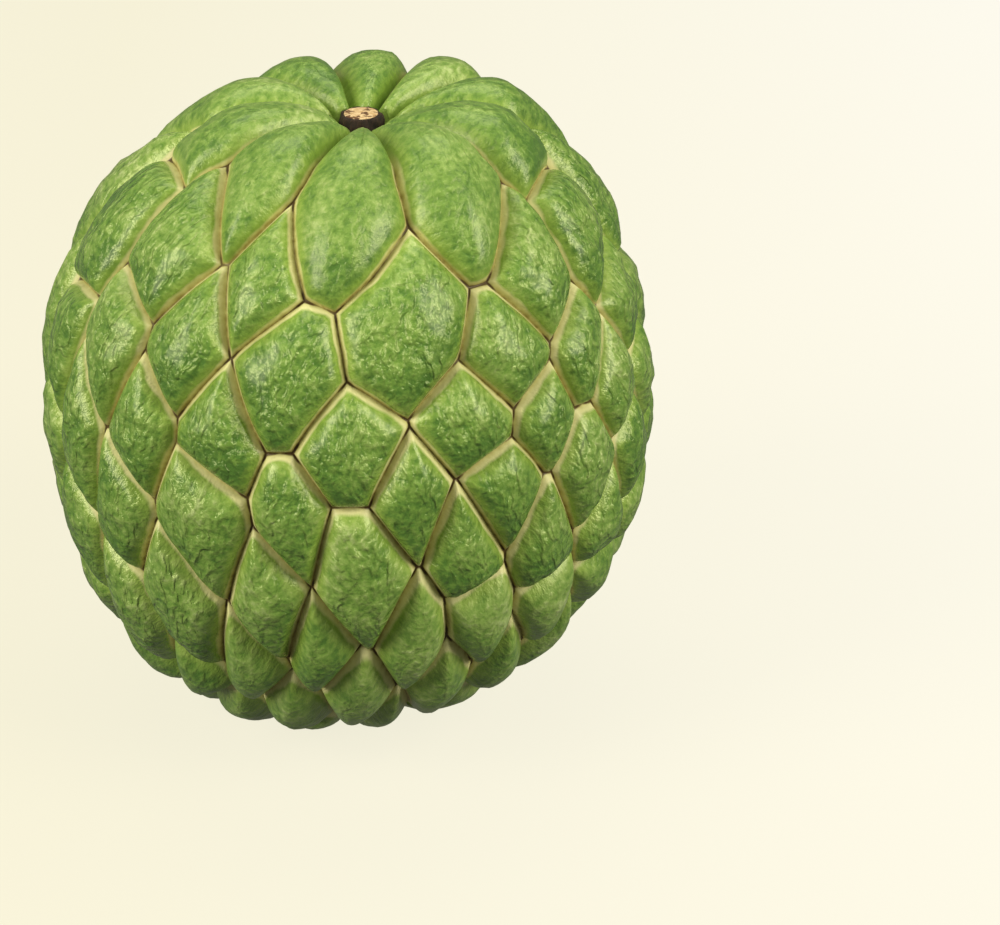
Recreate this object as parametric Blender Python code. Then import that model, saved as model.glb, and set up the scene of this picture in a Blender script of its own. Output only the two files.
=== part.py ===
"""Custard apple: one scaly fruit and the cut stub of its stalk, for Blender 4.5.

The frame is in metres with +Z up. The origin is under the middle of the fruit, on the surface it stands on,
and the front is -Y. A place on the skin is given by two angles in degrees: turn goes round the fruit from the
front towards +X, and down goes from the stalk (0) past the widest part (90) to the blossom end (180).

The scales of the skin are one pattern of cells. It is first laid out on a plain ball, where every row has the
height that keeps its scales square, and is then drawn over the fruit row by row.
"""

import math
from dataclasses import dataclass

import bpy
import numpy as np

MM = 0.001

# Driving dimensions of the fruit, over the tops of its scales
HALF_WIDTH = 49.4 * MM
HALF_HEIGHT = 55.0 * MM
FLAT_SPOT_HEIGHT = 2.6 * MM  # how much of the round bottom the flat spot takes away
FULLNESS_ABOVE = 2.10  # 2 is a plain ellipsoid, and more is fuller between the pole and the waist
FULLNESS_BELOW = 2.3
AXIS_LEAN = -0.02  # sideways lean of the axis at the waist, as a slope towards +X
AXIS_BOW = 7.0 * MM  # how far the axis bends over to +X at the stalk, and to -X at the blossom end
HOLLOW_RADIUS = 21.0 * MM  # the hollow round the stalk
HOLLOW_DEPTH = 12.4 * MM
HOLLOW_POWER = 1.3
SEAT_HEIGHT = 43.2 * MM  # floor of the hollow, above the widest part
SEAT_SHARE = 0.83  # how far the seat reaches towards its neighbours in the layout

# The shape of the scales
SEAM_SAG = 0.045  # how far a seam between the lowest scales bows down, on the ball
SAG_HEIGHTS = (-0.35, -0.75)  # heights on the ball where the sag begins and where it is whole
POLE_HEIGHT = 0.995  # nearer the poles of the ball than this, down has no direction
STEEP_SEAM = 4.0 * MM  # seams shorter than this are the upright ones
INNER_EDGE = 0.14  # longest edge near the stalk, as a share of the distance from the axis
INNER_REACH = 0.30  # longest reach there, as a share of that distance
INNER_RELIEF = 0.80  # greatest relief there, as a share of that distance
LEAST_EDGE = 0.2 * MM
WALL_POWER = 1.6  # over 1 a seam has a round floor
CROWN_POWER = 0.95  # under 1 a crown is rounder at its rim
CORNER_SOFTNESS = 3.0  # less rounds a scale's corners more
BOW_POWER = 3  # the axis bends most near the poles

# Driving dimensions of the stalk stub
STALK_GAP = 0.3 * MM
STALK_ASIDE = 0.3 * MM  # how far towards +X the stub stands from the middle of its seat
STALK_SIDES = 20
STALK_PROFILE = (  # radius and height over the stalk's base
    (2.8 * MM, 0.0 * MM),
    (3.3 * MM, 0.8 * MM),
    (3.2 * MM, 2.4 * MM),
    (2.9 * MM, 3.4 * MM),
    (2.5 * MM, 3.7 * MM),
)
STALK_RIPPLE = 0.12 * MM

# The unevenness of the rows
SEED = 11
TURN_JITTER = 1.3  # degrees, where the scales of a row are JITTER_SPACING apart
DOWN_JITTER = 0.8
MOST_JITTER = 1.5  # in standard deviations
JITTER_SPACING = 20.0

# The search for the places where scales meet
MIDDLE_ROWS = [4, 5]  # the rings that the ball's widest part lies between
FARTHEST_NEIGHBOUR = 75.0  # degrees
TOUCH = 1e-9
SAME_CORNER = 1e-6
LEAST_DISTANCE = 1e-6

# Fineness of the skin's mesh
RIM_STEP = 5.0 * MM  # along the seams
RING_SHARES = (0.80, 0.45)  # rings of points inside a scale, as a share of the way out
FEWEST_IN_RING = 5


@dataclass(frozen=True)
class Row:
    """One ring of scales round the fruit, with its slant and the shape of its scales."""

    count: int
    down: float
    turn: float  # of one of its scales
    back: float  # degrees that the ring's front is raised, fading to none behind
    left: float  # degrees that the ring's left side hangs
    relief: float = 3.9 * MM  # how high a scale stands over its seams
    edge: float = 0.85 * MM  # how far in from a seam the scale still climbs steeply
    wall: float = 0.25  # share of the relief that this steep part climbs
    reach: float = 8.0 * MM  # how far in from a seam the gentle part climbs
    lean: float = 0.22  # how far a scale hangs over the row below it, as a share of its height there


@dataclass(frozen=True)
class Nudge:
    """One scale that grew out of line: the row it is in, the turn it has there, and how it is moved."""

    row: int
    turn: float
    turn_by: float = 0.0
    down_by: float = 0.0
    gain: float = 1.0  # over 1 the scale is larger than its neighbours


ROWS = (
    Row(1, 0, 0, 0, 0, 3.0 * MM, lean=0),  # the stalk's seat, which stays low
    Row(10, 31, -5, 0, 0, 4.6 * MM, 1.2 * MM, 0.26, 7.5 * MM, 0),
    Row(13, 54, 10, 6, -1, 4.2 * MM, 0.9 * MM, 0.25),
    Row(18, 72, 10, 12, 1),
    Row(18, 87, 0, 15, 5),
    Row(18, 101, 11, 17, 6),
    Row(18, 115, 0, 17, 8, 4.6 * MM, 0.9 * MM, 0.25, lean=0.34),
    Row(18, 128, 6, 15.5, 11, 5.4 * MM, 1.1 * MM, 0.24, 7.5 * MM, 0.42),
    Row(16, 142, -8, 13, 11, 5.4 * MM, 1.2 * MM, 0.24, 7.0 * MM, 0.42),
    Row(11, 156, 0, 10, 9, 4.6 * MM, 1.2 * MM, 0.30, 7.5 * MM, 0.3),
    Row(6, 168, 0, 6, 5, 4.0 * MM, 1.2 * MM, 0.40, 7.0 * MM, 0.1),
    Row(1, 180, 0, 3, 2, 4.0 * MM, 1.2 * MM, 0.40, 7.0 * MM, 0),
)
MISSING = (3, 10)  # row and turn of the scale whose place its upper neighbour fills
NUDGES = (
    Nudge(1, -5, turn_by=3.5, down_by=2.5, gain=1.022),
    Nudge(1, -41, turn_by=3, gain=1.010),
    Nudge(1, -77, turn_by=6, down_by=-3),
    Nudge(1, 31, turn_by=-3.5, down_by=1, gain=1.025),
    Nudge(1, 67, turn_by=-4, down_by=-3, gain=1.006),
    Nudge(2, 10, turn_by=2, down_by=5, gain=1.020),
    Nudge(2, -18, turn_by=-1.5, down_by=0.5, gain=1.001),
    Nudge(2, -45, down_by=-3, gain=1.006),
    Nudge(2, -73, turn_by=1),
    Nudge(2, 38, turn_by=1, down_by=1, gain=1.010),
    Nudge(2, 65, turn_by=-1, down_by=-1),
    Nudge(3, -10, turn_by=0.5, down_by=2, gain=1.005),
    Nudge(3, -30, turn_by=-3, down_by=-2),
    Nudge(3, -50, turn_by=-1, down_by=-1),
    Nudge(3, 30, gain=1.012),
    Nudge(3, 50, down_by=3),
    Nudge(4, 0, turn_by=1, down_by=3.5, gain=1.004),
    Nudge(4, -20, turn_by=-3.5, down_by=1),
    Nudge(4, -40, turn_by=-1, down_by=-1.5),
    Nudge(4, 20, turn_by=4, down_by=-2, gain=1.007),
    Nudge(4, 40, turn_by=-1, down_by=1),
    Nudge(5, -9, turn_by=-2, down_by=2, gain=1.001),
    Nudge(5, -29, turn_by=-0.5, down_by=0.5, gain=1.006),
    Nudge(5, -49, down_by=-3),
    Nudge(5, 11, turn_by=-1, down_by=1),
    Nudge(5, 31, turn_by=-1, down_by=2),
    Nudge(6, 0, turn_by=-0.5, gain=1.006),
    Nudge(6, -20, turn_by=-1, down_by=1, gain=1.003),
    Nudge(6, -40, turn_by=-1, gain=1.004),
    Nudge(6, -60, turn_by=1, down_by=2),
    Nudge(7, -54, turn_by=1, down_by=2),
)


def direction(turn, down):
    """Unit vectors at these turns and downs, in degrees."""
    turn, down = np.radians(turn), np.radians(down)
    return np.stack([np.sin(down) * np.sin(turn), -np.sin(down) * np.cos(turn), np.cos(down)], axis=-1)


def unit(vectors):
    """The vectors scaled to length 1."""
    return vectors / np.linalg.norm(vectors, axis=-1, keepdims=True)


def smooth_step(values, start, end):
    """0 at start and before it, 1 at end and past it, and a smooth climb between."""
    share = np.clip((values - start) / (end - start), 0, 1)
    return share * share * (3 - 2 * share)


def layout_downs():
    """Each row's down on the ball: rows are as far apart there as the scales within a row."""
    rings = ROWS[1:-1]
    steps = [2 * math.pi / (above.count + below.count) for above, below in zip(rings, rings[1:])]
    stretched = np.concatenate([[0.0], np.cumsum(steps)])
    middle = stretched[MIDDLE_ROWS].mean()
    downs = np.degrees(2 * np.arctan(np.exp(stretched - middle)))
    return np.concatenate([[0.0], downs, [180.0]])


def turn_apart(one, other):
    """Degrees between two turns, the short way round."""
    return abs((one - other + 180) % 360 - 180)


def nudge_of(row_number, turn, spacing):
    """The nudge of the scale at this turn of this row, if it has one."""
    for nudge in NUDGES:
        if nudge.row == row_number and turn_apart(nudge.turn, turn) < spacing / 3:
            return nudge
    return None


def lay_out_scales():
    """Every scale's centre on the ball, its gain and its row."""
    rng = np.random.default_rng(SEED)
    downs = layout_downs()
    centres, gains, rows = [], [], []
    for number, row in enumerate(ROWS):
        spacing = 360 / row.count
        for step in range(row.count):
            turn, down = row.turn + spacing * step, downs[number]
            turn_noise, down_noise = np.clip(rng.normal(size=2), -MOST_JITTER, MOST_JITTER)
            if number == MISSING[0] and turn_apart(turn, MISSING[1]) < spacing / 3:
                continue
            nudge = nudge_of(number, turn, spacing)
            if nudge:
                turn, down = turn + nudge.turn_by, down + nudge.down_by
            elif 1 < row.count:
                turn += turn_noise * TURN_JITTER * spacing / JITTER_SPACING
                down += down_noise * DOWN_JITTER * (number > 1)
            gain = nudge.gain if nudge else 1.0
            centres.append(direction(turn, down))
            gains.append(SEAT_SHARE if number == 0 else gain)
            rows.append(number)
    return np.array(centres), np.array(gains), np.array(rows)


def meeting_points(centres, gains):
    """The points of the ball where three or more scales meet, and each scale's own, in order round it."""
    weighted = centres * gains[:, None]
    near_cosine = math.cos(math.radians(FARTHEST_NEIGHBOUR))
    points, scales_at = [], []
    for first in range(len(centres)):
        near = np.flatnonzero(centres @ centres[first] > near_cosine)
        near = near[near > first]
        second, third = near[np.array(np.triu_indices(len(near), 1))]
        across = np.cross(weighted[second] - weighted[first], weighted[third] - weighted[first])
        across = unit(across) * np.sign(across @ centres[first])[:, None]
        reach = (across @ weighted.T).max(axis=1)
        meets = reach <= across @ weighted[first] + TOUCH
        for point, trio in zip(across[meets], zip(second[meets], third[meets])):
            known = [i for i, other in enumerate(points) if np.linalg.norm(point - other) < SAME_CORNER]
            if not known:
                points.append(point)
                scales_at.append(set())
            scales_at[known[0] if known else -1] |= {first, *trio}
    points = np.array(points)
    outlines = []
    for scale, centre in enumerate(centres):
        mine = np.array([i for i, scales in enumerate(scales_at) if scale in scales])
        middle = unit(points[mine].mean(axis=0))
        side = unit(points[mine[0]] - middle * (points[mine[0]] @ middle))
        other_side = np.cross(middle, side)
        angle = np.arctan2(points[mine] @ other_side, points[mine] @ side)
        outlines.append(mine[np.argsort(angle)])
    return points, outlines


def smooth_through(x, known_x, known_y):
    """Values at x of a smooth curve through the known points that never overshoots them."""
    widths = np.diff(known_x)
    slopes = np.diff(known_y) / widths
    inner = 2 * slopes[1:] * slopes[:-1] / (slopes[1:] + slopes[:-1])
    tangents = np.concatenate([slopes[:1], inner, slopes[-1:]])
    left = np.clip(np.searchsorted(known_x, x) - 1, 0, len(widths) - 1)
    width, u = widths[left], (x - known_x[left]) / widths[left]
    start = known_y[left] * (1 + 2 * u) * (1 - u) ** 2 + tangents[left] * width * u * (1 - u) ** 2
    end = known_y[left + 1] * (3 - 2 * u) * u**2 - tangents[left + 1] * width * (1 - u) * u**2
    return start + end


def row_values(ball_points, name):
    """A value that the rows give, such as relief, carried smoothly from row to row, at points of the ball."""
    down = np.degrees(np.arccos(np.clip(ball_points[..., 2], -1, 1)))
    return np.interp(down, layout_downs(), [getattr(row, name) for row in ROWS])


def on_fruit(ball_points):
    """Where points of the ball come to lie on the fruit, at the bottom of its seams."""
    down = np.degrees(np.arccos(np.clip(ball_points[..., 2], -1, 1)))
    turn = np.degrees(np.arctan2(ball_points[..., 0], -ball_points[..., 1]))
    place = direction(turn, smooth_through(down, layout_downs(), np.array([float(r.down) for r in ROWS])))
    back = np.radians(row_values(ball_points, "back") * (1 - place[..., 1]) / 2)
    left = np.radians(row_values(ball_points, "left"))
    x, y, z = place[..., 0], place[..., 1], place[..., 2]
    y, z = y * np.cos(back) + z * np.sin(back), z * np.cos(back) - y * np.sin(back)
    x, z = x * np.cos(left) - z * np.sin(left), z * np.cos(left) + x * np.sin(left)
    power = np.where(z > 0, FULLNESS_ABOVE, FULLNESS_BELOW)
    fuller = (np.hypot(x, y) ** power + np.abs(z) ** power) ** (-1 / power)
    x, y, z = x * fuller, y * fuller, z * fuller
    depth = row_values(ball_points, "relief")
    x, y, height = x * (HALF_WIDTH - depth), y * (HALF_WIDTH - depth), z * (HALF_HEIGHT - depth)
    inward = np.clip(1 - np.hypot(x, y) / HOLLOW_RADIUS, 0, 1)
    hollowed = np.maximum(height - HOLLOW_DEPTH * inward**HOLLOW_POWER, SEAT_HEIGHT)
    height = np.where((z > 0) & (inward > 0), hollowed, height)
    return np.stack([x, y, height], axis=-1)


def axis_aside(height):
    """How far towards +X the bent axis lies at this height above the widest part."""
    return AXIS_LEAN * height + AXIS_BOW * (height / HALF_HEIGHT) ** BOW_POWER


class Skin:
    """The skin's mesh: points on the ball, how far each is from the nearest seams, and triangles."""

    def __init__(self):
        centres, gains, self.rows = lay_out_scales()
        self.corners, self.outlines = meeting_points(centres, gains)
        self.ball = list(self.corners)
        self.inset = [0.0] * len(self.ball)
        self.scale_row = [0] * len(self.ball)
        self.triangles = []
        self.edges = {}
        for scale, outline in enumerate(self.outlines):
            self.add_scale(outline, self.rows[scale])

    def edge(self, start, end):
        """Point numbers along the seam between two meeting points, made once for both its scales."""
        if (end, start) in self.edges:
            return self.edges[end, start][::-1]
        ends = self.corners[[start, end]]
        length = np.linalg.norm(np.diff(on_fruit(ends), axis=0))
        steps = max(1, round(length / RIM_STEP))
        level = abs(unit(np.cross(*ends))[2])
        level = 1 - level if length < STEEP_SEAM else level
        first_new = len(self.ball)
        for share in np.arange(1, steps) / steps:
            point = unit(ends[0] * (1 - share) + ends[1] * share)
            sag = SEAM_SAG * level * math.sin(math.pi * share) * smooth_step(point[2], *SAG_HEIGHTS)
            downward = np.array([0.0, 0.0, -1.0]) + point * point[2]
            if abs(point[2]) < POLE_HEIGHT:
                point = unit(point + unit(downward) * sag)
            self.ball.append(point)
        self.inset += [0.0] * (steps - 1)
        self.scale_row += [0] * (steps - 1)
        numbers = [start, *range(first_new, len(self.ball)), end]
        self.edges[start, end] = numbers
        return numbers

    def add_scale(self, outline, row):
        """Fills one scale with rings of points that shrink towards its middle."""
        sides = [self.edge(a, b) for a, b in zip(outline, np.roll(outline, -1))]
        rim = [number for side in sides for number in side[:-1]]
        rim_ball = np.array([self.ball[number] for number in rim])
        middle = unit(rim_ball.mean(axis=0))
        seams = [on_fruit(np.array([self.ball[number] for number in side])) for side in sides]
        outer = rim
        for share in RING_SHARES:
            count = len(rim) if share == RING_SHARES[0] else max(FEWEST_IN_RING, round(len(rim) * share))
            at = np.arange(count) * len(rim) / count
            low, part = at.astype(int), (at % 1)[:, None]
            around = rim_ball[low] * (1 - part) + rim_ball[(low + 1) % len(rim)] * part
            ring = self.add_points(unit(middle + (around - middle) * share), seams, row)
            self.stitch(outer, ring)
            outer = ring
        centre = self.add_points(middle[None, :], seams, row)[0]
        self.triangles += [(a, b, centre) for a, b in zip(outer, outer[1:] + outer[:1])]

    def add_points(self, ball_points, seams, row):
        """New points inside a scale, with a soft distance to its seams that rounds its corners."""
        places = on_fruit(ball_points)
        nearness = np.zeros(len(places))
        for seam in seams:
            nearness += distance_to_line(places, seam) ** -CORNER_SOFTNESS
        first_new = len(self.ball)
        self.ball += list(ball_points)
        self.inset += list(nearness ** (-1 / CORNER_SOFTNESS))
        self.scale_row += [row] * len(places)
        return list(range(first_new, len(self.ball)))

    def stitch(self, outer, inner):
        """Triangles between two loops whose points start together and are evenly spread."""
        i = j = 0
        while i < len(outer) or j < len(inner):
            if j == len(inner) or (i < len(outer) and (i + 1) * len(inner) <= (j + 1) * len(outer)):
                triangle = (outer[i], outer[(i + 1) % len(outer)], inner[j % len(inner)])
                i += 1
            else:
                triangle = (outer[i % len(outer)], inner[(j + 1) % len(inner)], inner[j])
                j += 1
            self.triangles.append(triangle)

    def shaped(self):
        """The points on the fruit, with each scale raised over its seams and the flat spot pressed in."""
        ball = np.array(self.ball)
        places, faces = on_fruit(ball), np.array(self.triangles)
        normals = np.zeros_like(places)
        first, second, third = (places[faces[:, corner]] for corner in range(3))
        across = np.cross(second - first, third - first)
        for corner in range(3):
            np.add.at(normals, faces[:, corner], across)
        normals, inset = unit(normals), np.array(self.inset)
        names = ("relief", "edge", "wall", "reach", "lean")
        relief, edge, wall, reach, lean = (row_values(ball, name) for name in names)
        from_axis = np.hypot(places[:, 0], places[:, 1])
        near_axis = np.where(places[:, 2] > 0, from_axis, HALF_WIDTH)
        edge = np.maximum(np.minimum(edge, INNER_EDGE * near_axis), LEAST_EDGE)
        reach = np.maximum(np.minimum(reach, INNER_REACH * near_axis), LEAST_EDGE)
        relief = np.minimum(relief, INNER_RELIEF * near_axis)
        steep = 1 - np.exp(-((inset / edge) ** WALL_POWER))
        crown = np.clip(inset / reach, 0, 1)
        raised = relief * (wall * steep + (1 - wall) * (crown * (2 - crown)) ** CROWN_POWER)
        raised *= np.array(self.scale_row) > 0
        below = normals * normals[:, 2:] - np.array([0.0, 0.0, 1.0])  # shrinks to nothing at both poles
        places = places + (normals + below * lean[:, None]) * raised[:, None]
        places[:, 0] += axis_aside(places[:, 2])
        places[:, 2] = np.maximum(places[:, 2] + HALF_HEIGHT - FLAT_SPOT_HEIGHT, 0.0)
        return places


def distance_to_line(points, line):
    """Distance of each point to a line of short straight pieces, and never quite zero."""
    nearest = np.full(len(points), np.inf)
    for start, end in zip(line, line[1:]):
        along = end - start
        share = np.clip((points - start) @ along / (along @ along), 0, 1)
        nearest = np.minimum(nearest, np.linalg.norm(points - start - share[:, None] * along, axis=1))
    return np.maximum(nearest, LEAST_DISTANCE)


def make_material(name, colour, roughness):
    """A plain matt or glossy material."""
    material = bpy.data.materials.new(name)
    material.use_nodes = True
    shader = material.node_tree.nodes["Principled BSDF"]
    shader.inputs["Base Color"].default_value = (*colour, 1.0)
    shader.inputs["Roughness"].default_value = roughness
    return material


def make_object(name, points, faces, material):
    """A mesh object of these points and faces."""
    mesh = bpy.data.meshes.new(name)
    mesh.from_pydata([tuple(map(float, point)) for point in points], [], [list(map(int, f)) for f in faces])
    mesh.materials.append(material)
    mesh.shade_smooth()
    made = bpy.data.objects.new(name, mesh)
    bpy.context.scene.collection.objects.link(made)
    return made


def make_stalk(foot, material):
    """The stub of the stalk: a knobbly turned shape, closed at both ends, with its base at foot."""
    turns = np.arange(STALK_SIDES) * 2 * math.pi / STALK_SIDES
    ripple = STALK_RIPPLE * (np.sin(3 * turns + 1) + np.sin(5 * turns))
    points = []
    for radius, height in STALK_PROFILE:
        around = np.stack([np.sin(turns), -np.cos(turns)], axis=-1) * (radius + ripple)[:, None]
        points += [(foot[0] + x, foot[1] + y, foot[2] + height) for x, y in around]
    rings = [list(range(k * STALK_SIDES, (k + 1) * STALK_SIDES)) for k in range(len(STALK_PROFILE))]
    faces = [rings[0][::-1], rings[-1]]
    for low, high in zip(rings, rings[1:]):
        for i in range(STALK_SIDES):
            j = (i + 1) % STALK_SIDES
            faces.append((low[i], low[j], high[j], high[i]))
    return make_object("stem_stub", points, faces, material)


def main():
    """Clears the scene and builds the fruit and its stalk."""
    for old in list(bpy.data.objects):
        bpy.data.objects.remove(old)
    skin_green = make_material("skin_green", (0.115, 0.270, 0.045), 0.45)
    stalk_bark = make_material("stalk_bark", (0.060, 0.038, 0.025), 0.80)

    skin = Skin()
    points = skin.shaped()
    middle = (points.min(axis=0) + points.max(axis=0)) / 2
    shift = np.array([middle[0], middle[1], 0.0])
    make_object("fruit", points - shift, skin.triangles, skin_green)

    seat = HALF_HEIGHT - FLAT_SPOT_HEIGHT + SEAT_HEIGHT
    foot = np.array([axis_aside(SEAT_HEIGHT) + STALK_ASIDE, 0.0, seat + STALK_GAP]) - shift
    make_stalk(foot, stalk_bark)


main()
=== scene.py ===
"""Custard apple: the full finish of one scaly fruit and the cut stub of its stalk, in a plain pale studio.

Everything is in metres with +Z up and the front at -Y. A place on the peel is given by two angles in degrees:
turn goes round the fruit from the front towards +X, and down goes from the stalk (0) past the widest part
(90) to the blossom end (180).

The scales of the peel are one pattern of cells. It is first laid out on a plain ball, where every row has the
height that keeps its scales square, and is then drawn over the fruit row by row.
"""

import logging
import math
from dataclasses import dataclass, field
from enum import Enum
from typing import Any, ClassVar, Mapping, Sequence

import bpy
import numpy as np
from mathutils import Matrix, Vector, noise


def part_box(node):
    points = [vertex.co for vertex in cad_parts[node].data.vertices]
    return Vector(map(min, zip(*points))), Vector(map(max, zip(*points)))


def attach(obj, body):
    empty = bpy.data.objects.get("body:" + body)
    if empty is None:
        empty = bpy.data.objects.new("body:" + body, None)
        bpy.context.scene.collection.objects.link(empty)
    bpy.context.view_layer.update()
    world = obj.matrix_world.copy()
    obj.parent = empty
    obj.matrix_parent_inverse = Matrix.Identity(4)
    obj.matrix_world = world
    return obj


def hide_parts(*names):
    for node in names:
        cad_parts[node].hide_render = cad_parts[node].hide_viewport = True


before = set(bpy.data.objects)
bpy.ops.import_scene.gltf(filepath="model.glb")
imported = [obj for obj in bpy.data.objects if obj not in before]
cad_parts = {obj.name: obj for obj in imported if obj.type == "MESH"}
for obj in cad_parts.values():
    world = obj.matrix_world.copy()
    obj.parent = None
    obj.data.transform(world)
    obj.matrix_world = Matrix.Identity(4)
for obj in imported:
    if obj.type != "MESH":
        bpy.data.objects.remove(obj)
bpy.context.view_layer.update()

Array = np.ndarray
Colour = tuple[float, float, float, float]
Ramp = tuple[tuple[float, str], ...]  # positions with their sRGB hex colours
Climb = tuple[float, ...]  # a start and an end, and what is given there if it isn't 0 and 1
Source = bpy.types.Node | bpy.types.NodeSocket
Settings = dict[str | int, Any]

MM = 0.001
LEAST_DISTANCE = 1e-6  # so that no distance is ever quite zero
MODES = {"Math": "operation", "MapRange": "interpolation_type"}  # the property that holds a node's mode
RGBA: Settings = {"data_type": "RGBA"}
LOG = logging.getLogger("custard_apple")


# ---- Small shared tools ----


def linear(srgb: str) -> Colour:
    """Turns an sRGB hex colour into the linear colour that a shader takes.

    Args:
        srgb: a colour such as "#5E8F3A".

    Returns:
        Red, green and blue from 0 to 1 on the linear scale, and an alpha of 1.
    """
    parts = [int(srgb[i : i + 2], 16) / 255 for i in (1, 3, 5)]
    low = [part / 12.92 for part in parts]
    high = [((part + 0.055) / 1.055) ** 2.4 for part in parts]
    red, green, blue = (lo if part <= 0.04045 else hi for part, lo, hi in zip(parts, low, high))
    return red, green, blue, 1.0


def add_node(tree: bpy.types.NodeTree, kind: str, settings: Settings | None = None) -> bpy.types.Node:
    """Adds one node with its settings and its links.

    Args:
        tree: the node tree that it goes in.
        kind: the node's type name, without its ShaderNode prefix.
        settings: values by input name or number, by property name, or under "stops" for a colour ramp, where
            each stop is a position and an sRGB hex colour. In place of a value, a socket or the first output
            of a node may feed an input.

    Returns:
        The new node.
    """
    node = tree.nodes.new("ShaderNode" + kind)
    for name, value in (settings or {}).items():
        if isinstance(value, bpy.types.Node):
            value = value.outputs[0]
        if isinstance(value, bpy.types.NodeSocket):
            tree.links.new(value, node.inputs[name])
        elif name == "stops":
            stops = node.color_ramp.elements
            while len(stops) < len(value):
                stops.new(1.0)
            for stop, (position, srgb) in zip(stops, value):
                stop.position = position
                stop.color = linear(srgb)
        elif isinstance(name, int) or name in node.inputs:
            node.inputs[name].default_value = value
        else:
            setattr(node, name, value)
    return node


def add_chain(tree: bpy.types.NodeTree, read: dict[str, Source], *chain: tuple[Any, ...]) -> None:
    """Adds a chain of nodes that feed each other.

    Args:
        tree: the node tree that it goes in.
        read: the sources that the chain may name, to which it adds every node under the node's own name.
        chain: the name, kind and mode of each node, and then its inputs in order. An input is a number or
            names a source.
    """
    for name, kind, mode, *inputs in chain:
        settings: Settings = {MODES[kind]: mode}
        for number, value in enumerate(inputs):
            settings[number] = read[value] if isinstance(value, str) else value
        read[name] = add_node(tree, kind, settings)


def unit(vectors: Array) -> Array:
    """The vectors scaled to length 1."""
    return vectors / np.linalg.norm(vectors, axis=-1, keepdims=True)


def smooth_step(values: Array, start: float, end: float) -> Array:
    """A smooth climb from 0 at start to 1 at end, or a fall if start is the greater."""
    share = np.clip((values - start) / (end - start), 0, 1)
    return share * share * (3 - 2 * share)


def add_object(name: str, data: bpy.types.ID) -> bpy.types.Object:
    """A new object of the scene that holds this mesh, light or camera."""
    made = bpy.data.objects.new(name, data)
    bpy.context.scene.collection.objects.link(made)
    return made


def make_piece(
    name: str,
    points: Array,
    faces: Sequence[Sequence[int]],
    material: bpy.types.Material,
    fields: Mapping[str, Array] | None = None,
) -> bpy.types.Object:
    """Makes one smooth mesh object.

    Args:
        name: the piece's name.
        points: its points, in metres.
        faces: the point numbers of each face.
        material: its finish.
        fields: values at every point that the finish reads, by name; a value is a number or a vector.

    Returns:
        The new object, linked to the scene.
    """
    mesh = bpy.data.meshes.new(name)
    mesh.from_pydata(np.asarray(points, float).tolist(), [], [tuple(map(int, face)) for face in faces])
    mesh.materials.append(material)
    mesh.shade_smooth()
    for field_name, values in (fields or {}).items():
        is_vector = values.ndim > 1
        layer = mesh.attributes.new(field_name, "FLOAT_VECTOR" if is_vector else "FLOAT", "POINT")
        layer.data.foreach_set("vector" if is_vector else "value", np.asarray(values, np.float32).ravel())
    return add_object(name, mesh)


def ripple(places: Array, size: float, seed: float = 0.0) -> Array:
    """Smooth noise at places.

    Args:
        places: points in any unit.
        size: the size of one ripple, in that unit.
        seed: moves the pattern to another part of the noise.

    Returns:
        A value from about -1 to 1 for each place.
    """
    moved = np.asarray(places) / size + seed
    return np.array([noise.noise(Vector(place)) for place in moved])


# ---- How the scales are laid out ----


class ScaleKind(Enum):
    """The shapes that a scale of this fruit grows into, from stalk to blossom end."""

    SEAT = "seat"  # the low place under the stalk
    FINGER = "finger"  # long, smooth and inflated, crowding the stalk
    SHIELD = "shield"  # a flattish cushion with wrinkled peel
    PILLOW = "pillow"  # short, plump and smooth, towards the blossom end


@dataclass(frozen=True)
class Row:
    """One ring of scales round the fruit, with its slant and the shape of its scales."""

    count: int
    down: float
    turn: float  # of one of its scales
    back: float  # degrees that the ring's front is raised, fading to none behind
    left: float  # degrees that the ring's left side hangs
    relief: float = 3.9 * MM  # how high a scale stands over its seams
    edge: float = 0.85 * MM  # how far in from a seam the scale still climbs steeply
    wall: float = 0.25  # share of the relief that this steep part climbs
    reach: float = 8.0 * MM  # how far in from a seam the gentle part climbs
    lean: float = 0.22  # how far a scale hangs over the row below it, as a share of its height there
    kind: ScaleKind = ScaleKind.SHIELD


@dataclass(frozen=True)
class Nudge:
    """One scale that grew out of line: the row it is in, the turn it has there, and how it is moved."""

    row: int
    turn: float
    turn_by: float = 0.0
    down_by: float = 0.0
    gain: float = 1.0  # over 1 the scale is larger than its neighbours


ROWS = (
    Row(1, 0, 0, 0, 0, 3.0 * MM, lean=0, kind=ScaleKind.SEAT),
    Row(10, 31, -5, 0, 0, 4.6 * MM, 1.2 * MM, 0.26, 7.5 * MM, 0, ScaleKind.FINGER),
    Row(13, 54, 10, 6, -1, 4.2 * MM, 0.9 * MM, 0.25),
    Row(18, 72, 10, 12, 1),
    Row(18, 87, 0, 15, 5),
    Row(18, 101, 11, 17, 6),
    Row(18, 115, 0, 17, 8, 4.6 * MM, 0.9 * MM, 0.25, lean=0.34),
    Row(18, 128, 6, 15.5, 11, 5.4 * MM, 1.1 * MM, 0.24, 7.5 * MM, 0.42, ScaleKind.PILLOW),
    Row(16, 142, -8, 13, 11, 5.4 * MM, 1.2 * MM, 0.24, 7.0 * MM, 0.42, ScaleKind.PILLOW),
    Row(11, 156, 0, 10, 9, 4.6 * MM, 1.2 * MM, 0.30, 7.5 * MM, 0.3, ScaleKind.PILLOW),
    Row(6, 168, 0, 6, 5, 4.0 * MM, 1.2 * MM, 0.40, 7.0 * MM, 0.1, ScaleKind.PILLOW),
    Row(1, 180, 0, 3, 2, 4.0 * MM, 1.2 * MM, 0.40, 7.0 * MM, 0, ScaleKind.PILLOW),
)
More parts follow.
